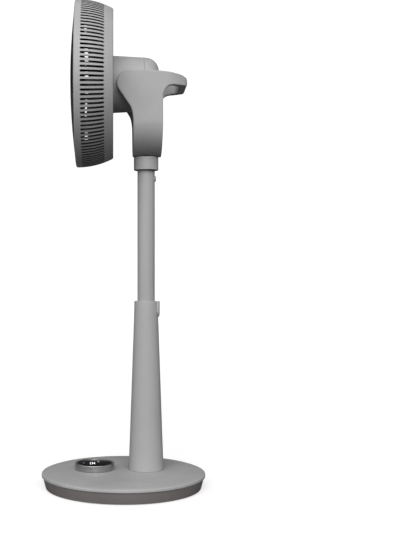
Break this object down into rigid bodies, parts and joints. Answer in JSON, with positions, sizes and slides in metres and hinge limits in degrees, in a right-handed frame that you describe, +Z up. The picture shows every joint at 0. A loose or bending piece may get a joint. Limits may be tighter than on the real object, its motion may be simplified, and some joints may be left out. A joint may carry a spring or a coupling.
{
  "type": "pedestal fan",
  "caption": "Free-standing pedestal fan: a slotted drum head tilts in a forked yoke with a carry handle, on a telescopic pole over a round base with a ring dial.",
  "frame": {"origin": "middle of the base on the floor, under the middle of the whole object's box", "axes": "+Z up; the fan blows towards -X; +Y is the fan's right-hand side seen from behind"},
  "size_m": [0.34, 0.344, 1.011],
  "materials": {
    "grey_plastic": "fine satin moulded plastic",
    "skirt_plastic": "darker satin moulded plastic",
    "dark_plastic": "matte black moulded plastic",
    "white_plastic": "slippery bearing plastic",
    "rubber": "matt soft rubber",
    "steel": "bare steel",
    "cast_iron": "rough casting",
    "brushed_ring": "turned and brushed all round",
    "painted_tube": "satin paint",
    "column_shell": "satin finish",
    "display_glass": "black gloss glass",
    "copper": "enamelled windings",
    "circuit": "circuit board"
  },
  "bodies": {
    "base": {"base_cover": "grey_plastic", "base_skirt": "skirt_plastic", "base_plate": "steel", "base_weight": "cast_iron", "column_socket": "cast_iron", "dc_inlet_socket": "dark_plastic", "foot_1": "rubber", "foot_2": "rubber", "foot_3": "rubber", "foot_4": "rubber", "foot_5": "rubber", "base_screw_1": "steel", "base_screw_2": "steel", "base_screw_3": "steel", "base_screw_4": "steel", "column_screw_1": "steel", "column_screw_2": "steel", "column_screw_3": "steel", "display_carrier": "dark_plastic", "display_lens": "display_glass", "dial_encoder": "dark_plastic", "control_board": "circuit", "column_sleeve": "column_shell", "guide_tube": "steel", "column_bush": "white_plastic"},
    "dial": {"dial_ring": "brushed_ring"},
    "height_button": {"height_button": "grey_plastic"},
    "tube": {"inner_tube": "painted_tube", "tube_stop": "white_plastic", "spigot": "dark_plastic", "collar": "grey_plastic", "thrust_washer": "white_plastic", "swing_gear": "white_plastic"},
    "snap_button": {"snap_button": "grey_plastic"},
    "neck": {"yoke": "grey_plastic", "yoke_cover": "grey_plastic", "yoke_screw_1": "steel", "yoke_screw_2": "steel", "swing_motor": "steel", "pivot_pin_left": "steel", "pivot_pin_right": "steel", "tilt_gear": "white_plastic"},
    "swing_pinion": {"swing_pinion": "white_plastic"},
    "head": {"drum": "grey_plastic", "front_grille": "dark_plastic", "rear_grille": "grey_plastic", "motor_housing_front": "grey_plastic", "motor_housing_rear": "grey_plastic", "motor_mount": "steel", "front_bearing": "steel", "rear_bearing": "steel", "motor_stator": "copper", "tilt_motor": "steel"},
    "tilt_pinion": {"tilt_pinion": "white_plastic"},
    "rotor": {"motor_rotor": "steel", "motor_shaft": "steel", "fan_blades": "dark_plastic", "blade_nut": "dark_plastic"}
  },
  "joints": [
    {"name": "height", "type": "slide", "parent": "base", "child": "tube", "axis": [0, 0, 1], "range_m": [-0.24, 0]},
    {"name": "swing", "type": "hinge", "parent": "tube", "child": "neck", "pos_m": [0.0474, 0, 0.6876], "axis": [0, 0, 1], "range_deg": [-45, 45]},
    {"name": "tilt", "type": "hinge", "parent": "neck", "child": "head", "pos_m": [0.0117, 0, 0.8315], "axis": [0, 1, 0], "range_deg": [-10, 90]},
    {"name": "rotor_spin", "type": "hinge", "parent": "head", "child": "rotor", "pos_m": [0, 0, 0.839], "axis": [1, 0, 0], "continuous": true},
    {"name": "dial_turn", "type": "hinge", "parent": "base", "child": "dial", "pos_m": [-0.0598, 0, 0.04], "axis": [0, 0, 1], "continuous": true},
    {"name": "height_button_press", "type": "slide", "parent": "base", "child": "height_button", "axis": [-1, 0, 0], "range_m": [0, 0.002], "stiffness_N_per_m": 900, "springref_m": -0.001},
    {"name": "snap_button_press", "type": "slide", "parent": "tube", "child": "snap_button", "axis": [-1, 0, 0], "range_m": [0, 0.0025], "stiffness_N_per_m": 900, "springref_m": -0.001},
    {"name": "swing_pinion_spin", "type": "hinge", "parent": "neck", "child": "swing_pinion", "pos_m": [0.0474, 0.027, 0.7066], "axis": [0, 0, 1], "range_deg": [-126, 126]},
    {"name": "tilt_pinion_spin", "type": "hinge", "parent": "head", "child": "tilt_pinion", "pos_m": [0.033, 0.043, 0.8315], "axis": [0, 1, 0], "range_deg": [-28, 252]}
  ],
  "couplings": [
    {"joint": "swing_pinion_spin", "follows": "swing", "ratio": 2.8},
    {"joint": "tilt_pinion_spin", "follows": "tilt", "ratio": 2.8}
  ]
}
